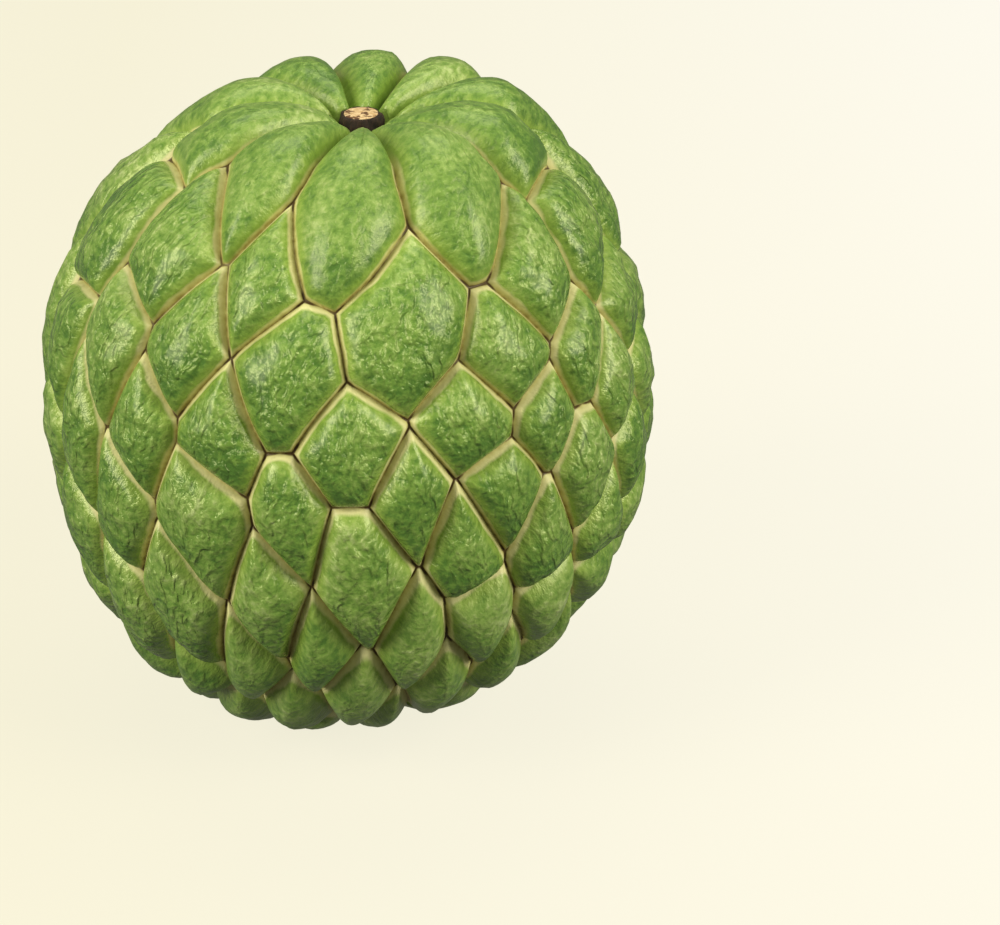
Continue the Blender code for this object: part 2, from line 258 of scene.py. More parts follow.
MISSING = (3, 10)  # row and turn of the scale whose place its upper neighbour fills
NUDGES = (  # the row and turn of a scale, how far round and down it is moved, and its gain
    Nudge(1, -5, 3.5, 2.5, 1.022),
    Nudge(1, -41, 3, 0, 1.010),
    Nudge(1, -77, 6, -3),
    Nudge(1, 31, -3.5, 1, 1.025),
    Nudge(1, 67, -4, -3, 1.006),
    Nudge(2, 10, 2, 5, 1.020),
    Nudge(2, -18, -1.5, 0.5, 1.001),
    Nudge(2, -45, 0, -3, 1.006),
    Nudge(2, -73, 1),
    Nudge(2, 38, 1, 1, 1.010),
    Nudge(2, 65, -1, -1),
    Nudge(3, -10, 0.5, 2, 1.005),
    Nudge(3, -30, -3, -2),
    Nudge(3, -50, -1, -1),
    Nudge(3, 30, 0, 0, 1.012),
    Nudge(3, 50, 0, 3),
    Nudge(4, 0, 1, 3.5, 1.004),
    Nudge(4, -20, -3.5, 1),
    Nudge(4, -40, -1, -1.5),
    Nudge(4, 20, 4, -2, 1.007),
    Nudge(4, 40, -1, 1),
    Nudge(5, -9, -2, 2, 1.001),
    Nudge(5, -29, -0.5, 0.5, 1.006),
    Nudge(5, -49, 0, -3),
    Nudge(5, 11, -1, 1),
    Nudge(5, 31, -1, 2),
    Nudge(6, 0, -0.5, 0, 1.006),
    Nudge(6, -20, -1, 1, 1.003),
    Nudge(6, -40, -1, 0, 1.004),
    Nudge(6, -60, 1, 2),
    Nudge(7, -54, 1, 2),
)


def direction(turn: Array | float, down: Array | float) -> Array:
    """Unit vectors at these turns and downs, in degrees."""
    turn, down = np.radians(turn), np.radians(down)
    return np.stack([np.sin(down) * np.sin(turn), -np.sin(down) * np.cos(turn), np.cos(down)], axis=-1)


def turn_apart(one: float, other: float) -> float:
    """Degrees between two turns, the short way round."""
    return abs((one - other + 180) % 360 - 180)


@dataclass
class ScaleLayout:
    """The pattern of scales on the plain ball: every scale's centre, row and outline."""

    seed: int = 11
    turn_jitter: float = 1.3
    down_jitter: float = 0.8
    most_jitter: float = 1.5  # in standard deviations
    jitter_spacing: float = 20.0  # the turn between scales that turn_jitter is meant for
    seat_share: float = 0.83  # how far the seat reaches towards its neighbours
    same_scale: float = 1 / 3  # a turn is taken for that of a scale within this share of the spacing
    middle_rows: tuple[int, int] = (4, 5)  # the rings that the ball's widest part lies between
    farthest_neighbour: float = 75.0  # degrees
    touch: float = 1e-9  # how far rounding may lift a neighbour over a meeting point
    same_corner: float = 1e-6  # meeting points nearer than this are one
    downs: Array = field(init=False)
    centres: Array = field(init=False)
    gains: Array = field(init=False)
    rows: Array = field(init=False)
    corners: Array = field(init=False)
    outlines: list[Array] = field(init=False)

    def __post_init__(self) -> None:
        """Lays the scales out."""
        self.downs = self.row_downs()
        self.place_centres()
        self.find_outlines()

    def row_downs(self) -> Array:
        """Spaces the rows on the ball so that rows are as far apart as the scales within a row.

        Returns:
            Each row's down there, in degrees.
        """
        rings = ROWS[1:-1]
        steps = [2 * math.pi / (above.count + below.count) for above, below in zip(rings, rings[1:])]
        stretched = np.concatenate([[0.0], np.cumsum(steps)])
        middle = stretched[list(self.middle_rows)].mean()
        downs = np.degrees(2 * np.arctan(np.exp(stretched - middle)))
        return np.concatenate([[0.0], downs, [180.0]])

    def place_centres(self) -> None:
        """Places every scale's centre on the ball, with its gain and its row."""
        rng = np.random.default_rng(self.seed)
        centres, gains, rows = [], [], []
        for number, row in enumerate(ROWS):
            spacing = 360 / row.count
            near = spacing * self.same_scale
            nudges = [nudge for nudge in NUDGES if nudge.row == number]
            for step in range(row.count):
                turn, down = row.turn + spacing * step, self.downs[number]
                turn_noise, down_noise = np.clip(rng.normal(size=2), -self.most_jitter, self.most_jitter)
                if number == MISSING[0] and turn_apart(turn, MISSING[1]) < near:
                    continue
                nudge = next((nudge for nudge in nudges if turn_apart(nudge.turn, turn) < near), None)
                if nudge:
                    turn, down = turn + nudge.turn_by, down + nudge.down_by
                elif row.count > 1:
                    turn += turn_noise * self.turn_jitter * spacing / self.jitter_spacing
                    down += down_noise * self.down_jitter * (number > 1)
                gain = nudge.gain if nudge else 1.0
                centres.append(direction(turn, down))
                gains.append(self.seat_share if row.kind is ScaleKind.SEAT else gain)
                rows.append(number)
        self.centres, self.gains, self.rows = np.array(centres), np.array(gains), np.array(rows)

    def find_outlines(self) -> None:
        """Finds the points of the ball where three or more scales meet, and each scale's own, in order."""
        weighted = self.centres * self.gains[:, None]
        near_cosine = math.cos(math.radians(self.farthest_neighbour))
        points: list[Array] = []
        scales_at: list[set[int]] = []
        for first, centre in enumerate(self.centres):
            near = np.flatnonzero(self.centres @ centre > near_cosine)
            near = near[near > first]
            second, third = near[np.array(np.triu_indices(len(near), 1))]
            across = np.cross(weighted[second] - weighted[first], weighted[third] - weighted[first])
            across = unit(across) * np.sign(across @ centre)[:, None]
            reach = (across @ weighted.T).max(axis=1)
            meets = reach <= across @ weighted[first] + self.touch
            for point, trio in zip(across[meets], zip(second[meets], third[meets])):
                apart = [np.linalg.norm(point - other) for other in points]
                known = [number for number, distance in enumerate(apart) if distance < self.same_corner]
                if not known:
                    points.append(point)
                    scales_at.append(set())
                scales_at[known[0] if known else -1] |= {first, *trio}
        self.corners, self.outlines = np.array(points), []
        for scale in range(len(self.centres)):
            mine = np.array([i for i, scales in enumerate(scales_at) if scale in scales])
            middle = unit(self.corners[mine].mean(axis=0))
            side = unit(self.corners[mine[0]] - middle * (self.corners[mine[0]] @ middle))
            other_side = np.cross(middle, side)
            angle = np.arctan2(self.corners[mine] @ other_side, self.corners[mine] @ side)
            self.outlines.append(mine[np.argsort(angle)])


@dataclass
class FruitForm:
    """The plain form that the scales are drawn over: a lopsided ball with a hollow round the stalk."""

    layout: ScaleLayout = field(default_factory=ScaleLayout)
    half_width: float = 49.4 * MM  # over the tops of the scales
    half_height: float = 55.0 * MM
    flat_spot_height: float = 2.6 * MM  # how much of the round bottom the flat spot takes away
    fullness_above: float = 2.10  # 2 is a plain ellipsoid, and more is fuller between the pole and the waist
    fullness_below: float = 2.3
    axis_lean: float = -0.02  # sideways lean of the axis at the waist, as a slope towards +X
    axis_bow: float = 7.0 * MM  # how far the axis bends over to +X at the stalk, and to -X at the blossom end
    hollow_radius: float = 21.0 * MM
    hollow_depth: float = 12.4 * MM
    hollow_power: float = 1.3
    seat_height: float = 43.2 * MM  # floor of the hollow, above the widest part

    def smooth_down(self, down: Array) -> Array:
        """Carries downs of the ball to downs of the fruit along a smooth curve that never overshoots.

        Args:
            down: degrees on the ball.

        Returns:
            The degrees on the fruit.
        """
        downs, real = self.layout.downs, np.array([float(row.down) for row in ROWS])
        widths, steps = np.diff(downs), np.diff(real)
        slopes = steps / widths
        inner = 2 * slopes[1:] * slopes[:-1] / (slopes[1:] + slopes[:-1])
        tangents = np.concatenate([slopes[:1], inner, slopes[-1:]])
        left = np.clip(np.searchsorted(downs, down) - 1, 0, len(widths) - 1)
        width, share = widths[left], (down - downs[left]) / widths[left]
        rest = 1 - share
        start = real[left] * (1 + 2 * share) * rest**2 + tangents[left] * width * share * rest**2
        end = real[left + 1] * (3 - 2 * share) * share**2 - tangents[left + 1] * width * rest * share**2
        return start + end

    def row_values(self, ball_points: Array, name: str) -> Array:
        """Carries a value that the rows give smoothly from row to row.

        Args:
            ball_points: places on the ball.
            name: which of the row's values.

        Returns:
            The value at each place.
        """
        down = np.degrees(np.arccos(np.clip(ball_points[..., 2], -1, 1)))
        return np.interp(down, self.layout.downs, [getattr(row, name) for row in ROWS])

    def place(self, ball_points: Array) -> Array:
        """Places points of the ball on the fruit, at the bottom of its seams.

        Args:
            ball_points: places on the ball.

        Returns:
            The places, measured from the middle of the widest part.
        """
        down = np.degrees(np.arccos(np.clip(ball_points[..., 2], -1, 1)))
        turn = np.degrees(np.arctan2(ball_points[..., 0], -ball_points[..., 1]))
        place = direction(turn, self.smooth_down(down))
        back = np.radians(self.row_values(ball_points, "back") * (1 - place[..., 1]) / 2)
        left = np.radians(self.row_values(ball_points, "left"))
        x, y, z = place[..., 0], place[..., 1], place[..., 2]
        y, z = y * np.cos(back) + z * np.sin(back), z * np.cos(back) - y * np.sin(back)
        x, z = x * np.cos(left) - z * np.sin(left), z * np.cos(left) + x * np.sin(left)
        power = np.where(z > 0, self.fullness_above, self.fullness_below)
        fuller = (np.hypot(x, y) ** power + np.abs(z) ** power) ** (-1 / power)
        x, y, z = x * fuller, y * fuller, z * fuller
        depth = self.row_values(ball_points, "relief")
        x, y = x * (self.half_width - depth), y * (self.half_width - depth)
        height = z * (self.half_height - depth)
        inward = np.clip(1 - np.hypot(x, y) / self.hollow_radius, 0, 1)
        hollowed = np.maximum(height - self.hollow_depth * inward**self.hollow_power, self.seat_height)
        height = np.where((z > 0) & (inward > 0), hollowed, height)
        return np.stack([x, y, height], axis=-1)


# ---- Finishes ----


class Finish:
    """One real finish. Its own class names it and says what feeds its shader."""

    title: ClassVar[str]

    def material(self) -> bpy.types.Material:
        """Makes the finish's material.

        Returns:
            The new material, with its shader dressed.
        """
        made = bpy.data.materials.new(self.title)
        made.use_nodes = True
        made.node_tree.nodes.clear()
        shader = add_node(made.node_tree, "BsdfPrincipled", self.surface(made.node_tree))
        add_node(made.node_tree, "OutputMaterial", {"Surface": shader})
        return made

    def surface(self, tree: bpy.types.NodeTree) -> Settings:
        """What feeds the shader, by the name of its input."""
        raise NotImplementedError


@dataclass(frozen=True)
class WaxyPeel(Finish):
    """Living peel, grown. A thin wax bloom gives it broad soft highlights that its wrinkles break up, and the
    corky skin between the scales is dry and matt."""

    title: ClassVar[str] = "waxy_peel"
    green: Ramp = ((0.05, "#4C7430"), (0.38, "#6B903F"), (0.68, "#86A556"), (1.0, "#AABF80"))  # deep to pale
    green_span: Climb = (0.88, 1.80)
    blotch_mm: float = 7.0
    mottle_mm: float = 1.0
    mottle_share: float = 1.4  # of the mottle in the green, where the share of the blotches is 1
    tone_share: float = 0.22  # of each scale's own tone
    lower_painted_shade: Climb = (-0.5, 0.9, 0.05, -0.11)  # painted shade: a scale darkens towards its lower end, which faces down
    hollow_painted_shade: float = 0.12  # painted shade: how much darker it is between the wrinkles
    rim_green: str = "#9AB54E"  # a lighter yellow-green just inside the cork
    rim_glow_mm: Climb = (-0.1, 1.3, 0.42, 0.0)
    rim_ragged_mm: float = -1.4
    wrinkle_mm: float = 1.3  # from one wrinkle to the next
    wrinkle_stretch: float = 0.45  # width over length
    wrinkle_wind: float = 0.2
    bend_mm: float = 5.0  # how far blotches bend the wrinkles' lines
    fold: Climb = (0.34, 0.68)
    fold_rim_mm: Climb = (0.7, 2.4)  # a rim has no wrinkles
    wrinkle_height_mm: float = 0.38
    pebble_height_mm: float = 0.32
    pebble_rim_mm: Climb = (0.2, 0.9)
    cork: Ramp = ((0.0, "#6A5C28"), (0.14, "#9A9150"), (0.30, "#BDBB7C"), (0.55, "#D6D6A0"))  # brown to cream
    cork_mm: float = 6.0  # size of the patches along a seam
    cork_band_mm: Climb = (-0.14, 0.20, 1.0, 0.0)
    cork_ragged_mm: float = -1.1
    cork_lower_mm: float = 0.12  # how much narrower the band is along a scale's lower rim
    cork_depth_mm: Climb = (-0.4, 1.0)
    fleck_mm: float = 1.1
    fleck_share: float = -0.5
    shadow_share: float = -0.2  # painted shade: a scale's lower end shades its cork
    grain_mm: float = 0.45
    grain_height_mm: float = 0.05
    crease_painted_shade: str = "#2F4F1C"  # painted shade: the crack's colour in a seam without cork
    crack_brown: str = "#453213"
    crack_corner_mm: Climb = (0.4, 3.0, 0.42, 0.0)  # the crack gapes where scales meet
    crack_width_mm: Climb = (0.45, 0.95, 0.06, 0.24)
    crack_edge: Climb = (0.5, 1.2, 1.0, 0.0)  # in widths
    crack_open: Climb = (0.53, 0.85)
    plump_wrinkles: float = 0.45  # how much the fingers and the pillows wrinkle, where a shield's share is 1
    matt_plump: Climb = (0.45, 1.0, 0.30, 0.18)  # roughness, which goes down as the wrinkles' share goes up
    mottle_roughness: float = 0.14
    cork_roughness: float = 0.80
    ior: float = 1.45
    gloss: float = 0.8
    sheen_tint: str = "#E6ECBE"  # thin wax over green
    bloom: float = 0.30  # weight of the wax coat
    bloom_roughness: float = 0.22

    def patterns(self, tree: bpy.types.NodeTree) -> dict[str, Source]:
        """Reads the fields that the peel's mesh carries, and adds the noises.

        Args:
            tree: the material's nodes.

        Returns:
            The source of each pattern, by its name.
        """
        names = ("rim_mm", "crack_mm", "corner_mm", "tone", "along", "cream", "smooth")
        read = {name: add_node(tree, "Attribute", {"attribute_name": name}).outputs["Fac"] for name in names}
        chart = add_node(tree, "Attribute", {"attribute_name": "chart_mm"}).outputs["Vector"]
        place = add_node(tree, "TexCoord").outputs["Object"]
        for name, where, size, detail, roughness in (
            ("blotch", chart, self.blotch_mm, 3.0, 0.5),
            ("mottle", chart, self.mottle_mm, 3.0, 0.6),
            ("patch", place, self.cork_mm * MM, 3.0, 0.5),
            ("fleck", place, self.fleck_mm * MM, 2.0, 0.5),
            ("grain", place, self.grain_mm * MM, 2.0, 0.5),
        ):
            settings = {"Vector": where, "Scale": 1 / size, "Detail": detail, "Roughness": roughness}
            read[name] = add_node(tree, "TexNoise", settings)
        scaled = {"operation": "SCALE", 0: read["blotch"].outputs["Color"], "Scale": self.bend_mm}
        bend = add_node(tree, "VectorMath", scaled)
        bent = add_node(tree, "VectorMath", {"operation": "ADD", 0: chart, 1: bend})
        stretched = add_node(tree, "Mapping", {"Vector": bent, "Scale": (1.0, self.wrinkle_stretch, 1.0)})
        winding = {"Scale": 1 / self.wrinkle_mm, "Detail": 1.5, "Distortion": self.wrinkle_wind}
        read["winding"] = add_node(tree, "TexNoise", {"Vector": stretched} | winding)
        return read

    def surface(self, tree: bpy.types.NodeTree) -> Settings:
        """Puts the peel together.

        Args:
            tree: the material's nodes.

        Returns:
            What feeds the shader, by the name of its input.
        """
        read = self.patterns(tree)
        add_chain(
            tree,
            read,
            # Wrinkles: short winding folds, none near a rim and fewer on the plump scales
            ("folds", "MapRange", "SMOOTHSTEP", "winding", *self.fold),
            ("inside", "MapRange", "SMOOTHSTEP", "rim_mm", *self.fold_rim_mm),
            ("strength", "Math", "MULTIPLY", "inside", "smooth"),
            ("wrinkled", "Math", "MULTIPLY", "folds", "strength"),
            # Green: broad blotches, fine mottling, each scale's own tone, and painted shade on each scale's
            # lower half and between its wrinkles
            ("mixed", "Math", "MULTIPLY_ADD", "mottle", self.mottle_share, "blotch"),
            ("toned", "Math", "MULTIPLY_ADD", "tone", self.tone_share, "mixed"),
            ("lower", "MapRange", "SMOOTHSTEP", "along", *self.lower_painted_shade),
            ("lowered", "Math", "ADD", "toned", "lower"),
            # Painted shade between the wrinkles
            ("hollows", "Math", "SUBTRACT", "wrinkled", "strength"),
            ("shade", "Math", "MULTIPLY_ADD", "hollows", self.hollow_painted_shade, "lowered"),
            ("spread", "MapRange", "LINEAR", "shade", *self.green_span),
            ("rim_noise", "Math", "MULTIPLY_ADD", "mottle", self.rim_ragged_mm, "rim_mm"),
            ("rim_glow", "MapRange", "SMOOTHSTEP", "rim_noise", *self.rim_glow_mm),
            # Cork: a band of uneven width along the seams, cream at its rim and tan to brown in its depth,
            # with painted shade along a scale's lower end
            ("sided", "Math", "MULTIPLY_ADD", "along", self.cork_lower_mm, "rim_mm"),
            ("ragged", "Math", "MULTIPLY_ADD", "patch", self.cork_ragged_mm, "sided"),
            ("band", "MapRange", "SMOOTHSTEP", "ragged", *self.cork_band_mm),
            ("corky", "Math", "MULTIPLY", "band", "cream"),
            ("flecked", "Math", "MULTIPLY_ADD", "fleck", self.fleck_share, "crack_mm"),
            ("shadowed", "Math", "MULTIPLY_ADD", "along", self.shadow_share, "flecked"),
            ("depth", "MapRange", "LINEAR", "shadowed", *self.cork_depth_mm),
            # The crack itself, widest and darkest where scales meet
            ("at_corner", "MapRange", "SMOOTHSTEP", "corner_mm", *self.crack_corner_mm),
            ("presence", "Math", "ADD", "patch", "at_corner"),
            ("width", "MapRange", "LINEAR", "presence", *self.crack_width_mm),
            ("beyond", "Math", "DIVIDE", "crack_mm", "width"),
            ("crack", "MapRange", "SMOOTHSTEP", "beyond", *self.crack_edge),
            ("open", "MapRange", "LINEAR", "presence", *self.crack_open),
            ("cracked", "Math", "MULTIPLY", "crack", "open"),
            # Wrinkles and pebbles on the green, grain on the cork, all as height in millimetres
            ("pebbles", "MapRange", "SMOOTHSTEP", "rim_mm", *self.pebble_rim_mm, 0.0, self.pebble_height_mm),
            ("folded", "Math", "MULTIPLY", "wrinkled", self.wrinkle_height_mm),
            ("pebbled", "Math", "MULTIPLY_ADD", "mottle", "pebbles", "folded"),
            ("height", "Math", "MULTIPLY_ADD", "grain", self.grain_height_mm, "pebbled"),
            # Roughness: least on the shields, and most on the cork
            ("matt", "MapRange", "LINEAR", "smooth", *self.matt_plump),
            ("dryness", "MapRange", "LINEAR", "corky", 0.0, 1.0, "matt", self.cork_roughness),
            ("roughness", "Math", "MULTIPLY_ADD", "mottle", self.mottle_roughness, "dryness"),
        )
        colour = add_node(tree, "ValToRGB", {"Fac": read["spread"], "stops": self.green})
        cork = add_node(tree, "ValToRGB", {"Fac": read["depth"], "stops": self.cork})
        # The crack is brown where there is cork, and painted shade in dark green where there is none, near
        # the stalk
        browns = {0: read["cream"], 6: linear(self.crease_painted_shade), 7: linear(self.crack_brown)}
        brown = add_node(tree, "Mix", RGBA | browns).outputs[2]
        for share, over in (("rim_glow", linear(self.rim_green)), ("corky", cork), ("cracked", brown)):
            colour = add_node(tree, "Mix", RGBA | {0: read[share], 6: colour, 7: over}).outputs[2]
        return {
            "Base Color": colour,
            "Roughness": read["roughness"],
            "Normal": add_node(tree, "Bump", {"Height": read["height"], "Distance": MM}),
            "IOR": self.ior,
            "Specular IOR Level": self.gloss,
            "Specular Tint": linear(self.sheen_tint),
            "Coat Weight": self.bloom,
            "Coat Roughness": self.bloom_roughness,
        }


@dataclass(frozen=True)
class DryBark(Finish):
    """Dead bark of the fruit's stalk, weathered. It is nearly black, ridged down the stalk and quite matt."""

    title: ClassVar[str] = "dry_bark"
    brown: Ramp = ((0.35, "#140D09"), (0.55, "#2B1C13"), (0.8, "#5E432E"))  # charred, dark and dusty
    roughness: float = 0.85
    ridge_mm: float = 0.5
    ridge_squeeze: float = 0.35  # width over length
    ridge_wind: float = 0.5
    ridge_height_mm: float = 0.25

    def surface(self, tree: bpy.types.NodeTree) -> Settings:
        """Puts the bark together.

        Args:
            tree: the material's nodes.

        Returns:
            What feeds the shader, by the name of its input.
        """
        place = add_node(tree, "TexCoord").outputs["Object"]
        squeezed = add_node(tree, "Mapping", {"Vector": place, "Scale": (1.0, 1.0, self.ridge_squeeze)})
        rough = {"Detail": 4.0, "Roughness": 0.7, "Distortion": self.ridge_wind}
        scale = {"Scale": 1 / (2 * self.ridge_mm * MM)}
        ridges = add_node(tree, "TexNoise", {"Vector": squeezed} | scale | rough)
        read = {"ridges": ridges}
        add_chain(tree, read, ("height", "Math", "MULTIPLY", "ridges", self.ridge_height_mm * 2))
        return {
            "Base Color": add_node(tree, "ValToRGB", {"Fac": ridges, "stops": self.brown}),
            "Normal": add_node(tree, "Bump", {"Height": read["height"], "Distance": MM}),
            "Roughness": self.roughness,
        }


@dataclass(frozen=True)
class CutWood(Finish):
    """Green wood of the stalk, cut across with a knife and dried. It is pale fibre with brown pores."""

    title: ClassVar[str] = "cut_wood"
    fibre: Ramp = ((0.35, "#B8976A"), (0.6, "#D8C29A"))  # tan and cream
    pore_brown: str = "#5C3D24"
    roughness: float = 0.75
    fibre_mm: float = 0.25
    fibre_height: float = 0.2 * MM
    fibre_strength: float = 0.7
    pore_mm: float = 0.55
    pore_wind: float = 0.6
    pore_edge: Climb = (0.40, 0.48, 1.0, 0.0)
    pore_depth: float = -0.15  # where the fibres' height is 1

    def surface(self, tree: bpy.types.NodeTree) -> Settings:
        """Puts the cut face together, with its pores and short fibres.

        Args:
            tree: the material's nodes.

        Returns:
            What feeds the shader, by the name of its input.
        """
        place = add_node(tree, "TexCoord").outputs["Object"]
        read = {}
        noises = (("fibres", self.fibre_mm, 3.0, 0.0), ("pores", self.pore_mm, 2.0, self.pore_wind))
        for name, size, detail, wind in noises:
            settings = {"Vector": place, "Scale": 1 / (2 * size * MM), "Detail": detail, "Distortion": wind}
            read[name] = add_node(tree, "TexNoise", settings)
        add_chain(
            tree,
            read,
            ("pore", "MapRange", "SMOOTHSTEP", "pores", *self.pore_edge),
            ("height", "Math", "MULTIPLY_ADD", "pore", self.pore_depth, "fibres"),
        )
        wood = add_node(tree, "ValToRGB", {"Fac": read["fibres"], "stops": self.fibre})
        bump = {"Height": read["height"], "Strength": self.fibre_strength, "Distance": self.fibre_height}
        colours = {0: read["pore"], 6: wood, 7: linear(self.pore_brown)}
        return {
            "Base Color": add_node(tree, "Mix", RGBA | colours).outputs[2],
            "Normal": add_node(tree, "Bump", bump),
            "Roughness": self.roughness,
        }


@dataclass(frozen=True)
class StudioPaper(Finish):
    """Seamless paper, uncoated. It is warm and matt, with painted light that makes it paler towards the
    right. It gives off most of its light by itself, so shadows on it stay faint."""

    title: ClassVar[str] = "studio_paper"
    cream: str = "#F7F3DB"
    painted_lit_cream: str = "#FFFDF2"
    body: str = "#524F48"  # the part of its brightness that shadows can take away
    roughness: float = 0.95
    glow: float = 0.893
    painted_light_fade: Climb = (-0.06, 0.18)  # metres to the right, where the paper is all cream and where the painted light makes it all pale

    def surface(self, tree: bpy.types.NodeTree) -> Settings:
        """Puts the paper together.

        Args:
            tree: the material's nodes.

        Returns:
            What feeds the shader, by the name of its input.
        """
        place = add_node(tree, "SeparateXYZ", {0: add_node(tree, "TexCoord").outputs["Object"]})
        read = {"x": place.outputs["X"]}
        add_chain(tree, read, ("across", "MapRange", "LINEAR", "x", *self.painted_light_fade))
        creams = {0: read["across"], 6: linear(self.cream), 7: linear(self.painted_lit_cream)}
        return {
            "Emission Color": add_node(tree, "Mix", RGBA | creams).outputs[2],
            "Emission Strength": self.glow,
            "Base Color": linear(self.body),
            "Roughness": self.roughness,
            "Specular IOR Level": 0.0,
        }


# ---- The fruit ----


@dataclass
class Peel:
    """The fruit's closed skin, with every scale drawn out: its cushion, its wrinkles and its seams' walls."""

    form: FruitForm = field(default_factory=FruitForm)
    finish: WaxyPeel = field(default_factory=WaxyPeel)
    rim_step: float = 0.95 * MM  # between points along a seam
    ring_shares: tuple[float, ...] = (0.984, 0.96, 0.927, 0.88, 0.813, 0.72, 0.6, 0.47, 0.34, 0.22, 0.11)
    rim_rings: int = 4  # rings nearest the rim, which keep a point for every point of the rim
    fewest_in_ring: int = 5
    seam_wander: float = 0.20 * MM
    seam_wave: float = 7.0 * MM
    seam_sag: float = 0.045  # how far a pillow's lower rim bows down, on the ball
    sag_heights: tuple[float, float] = (-0.35, -0.75)  # on the ball, where the sag starts and is full
    sag_end: float = -0.995  # and where it ends
    short_seam: float = 4.0 * MM  # a shorter seam sags less the more level it is, and a longer one more
    chart_step: float = 31.0 * MM  # depth in the noise from one scale's wrinkles to the next one's
    polar: float = 0.05  # a scale this near a pole has no downward side
    inner_edge: float = 0.14  # longest wall near the stalk, as a share of the distance from the axis
    inner_reach: float = 0.30  # half the width of a finger there, as a share of that distance
    inner_relief: float = 0.80  # greatest relief there, as a share of that distance
    least_edge: float = 0.2 * MM
    wall_power: float = 1.6  # over 1 a seam has a round floor
    crown_power: float = 0.95  # under 1 a crown is rounder at its rim
    corner_softness: float = 3.0
    calm_rim: tuple[float, float] = (0.7 * MM, 2.6 * MM)  # from a seam, where ripples start and are full
    ripples: tuple[tuple[float, float, float], ...] = (  # height, size in millimetres and seed
        (0.36 * MM, 3.0, 0.0),
        (0.24 * MM, 1.7, 40.0),
    )
    bare_seams: tuple[float, float] = (24.0 * MM, 14.0 * MM)  # from the axis, where cork thins and is gone

    def __post_init__(self) -> None:
        """Draws the points and the triangles of every scale."""
        self.layout = self.form.layout
        rng = np.random.default_rng(self.layout.seed)
        self.ball: list[Array] = list(self.layout.corners)
        self.edges: dict[tuple[int, int], list[int]] = {}
        for outline in self.layout.outlines:
            for start, end in zip(outline, np.roll(outline, -1)):
                if (end, start) not in self.edges:
                    self.draw_seam(int(start), int(end))
        seams = len(self.ball)
        places = self.form.place(np.array(self.ball))
        to_corner = self.distances(places, places[: len(self.layout.corners)]).min(axis=1)
        self.values: dict[str, list[Array]] = {
            name: [np.zeros(seams)] for name in ("rim", "crack", "along", "row")
        }
        self.values |= {"corner": [to_corner], "tone": [np.full(seams, 0.5)], "chart": [np.zeros((seams, 3))]}
        self.triangles: list[tuple[int, int, int]] = []
        for scale, outline in enumerate(self.layout.outlines):
            self.draw_scale(scale, outline, float(rng.random()))

    @staticmethod
    def distances(points: Array, others: Array) -> Array:
        """Distance from each point to each of the others, as a table."""
        return np.linalg.norm(points[:, None, :] - others[None, :, :], axis=2)

    def draw_seam(self, start: int, end: int) -> None:
        """Draws the points of one seam, which both its scales share.

        Args:
            start: the number of the meeting point that it starts from.
            end: the number of the one that it ends at.
        """
        ends = self.layout.corners[[start, end]]
        places = self.form.place(ends)
        length = np.linalg.norm(places[1] - places[0])
        steps = max(2, round(length / self.rim_step))
        shares = (np.arange(1, steps) / steps)[:, None]
        line = unit(ends[0] * (1 - shares) + ends[1] * shares)
        side = unit(np.cross(ends[0], ends[1]))
        bow = np.sin(math.pi * shares)
        spread = self.form.half_width
        wander = ripple(line * spread, self.seam_wave)[:, None] * self.seam_wander / spread
        pillow = smooth_step(line[:, 2:], *self.sag_heights) * (line[:, 2:] > self.sag_end)
        sag_way = unit(np.array([0.0, 0.0, -1.0]) + line * line[:, 2:])
        level = abs(float(side[2]))
        if length < self.short_seam:
            level = 1 - level
        line = unit(line + side * wander * bow**0.5 + sag_way * self.seam_sag * bow * pillow * level)
        numbers = [start, *range(len(self.ball), len(self.ball) + steps - 1), end]
        self.ball += list(line)
        self.edges[start, end] = numbers
        self.edges[end, start] = numbers[::-1]

    def draw_scale(self, scale: int, outline: Array, tone: float) -> None:
        """Fills one scale with rings of points that shrink towards its middle.

        Args:
            scale: its number.
            outline: the numbers of the meeting points round it.
            tone: how light it is, from 0 to 1.
        """
        sides = [self.edges[int(a), int(b)] for a, b in zip(outline, np.roll(outline, -1))]
        rim = [number for side in sides for number in side[:-1]]
        rim_ball = np.array([self.ball[number] for number in rim])
        middle = unit(rim_ball.mean(axis=0))
        rings = []
        for ring, share in enumerate(self.ring_shares):
            count = len(rim) if ring < self.rim_rings else max(self.fewest_in_ring, round(len(rim) * share))
            at = np.arange(count) * len(rim) / count
            low, part = at.astype(int), (at % 1)[:, None]
            around = rim_ball[low] * (1 - part) + rim_ball[(low + 1) % len(rim)] * part
            rings.append(unit(middle + (around - middle) * share))
        rings.append(middle[None, :])
        first, outer = len(self.ball), rim
        for ring in rings:
            numbers = list(range(first, first + len(ring)))
            self.stitch(outer, numbers)
            first, outer = first + len(ring), numbers
        inner = np.concatenate(rings)
        self.ball += list(inner)
        self.measure(scale, sides, outline, inner, tone)

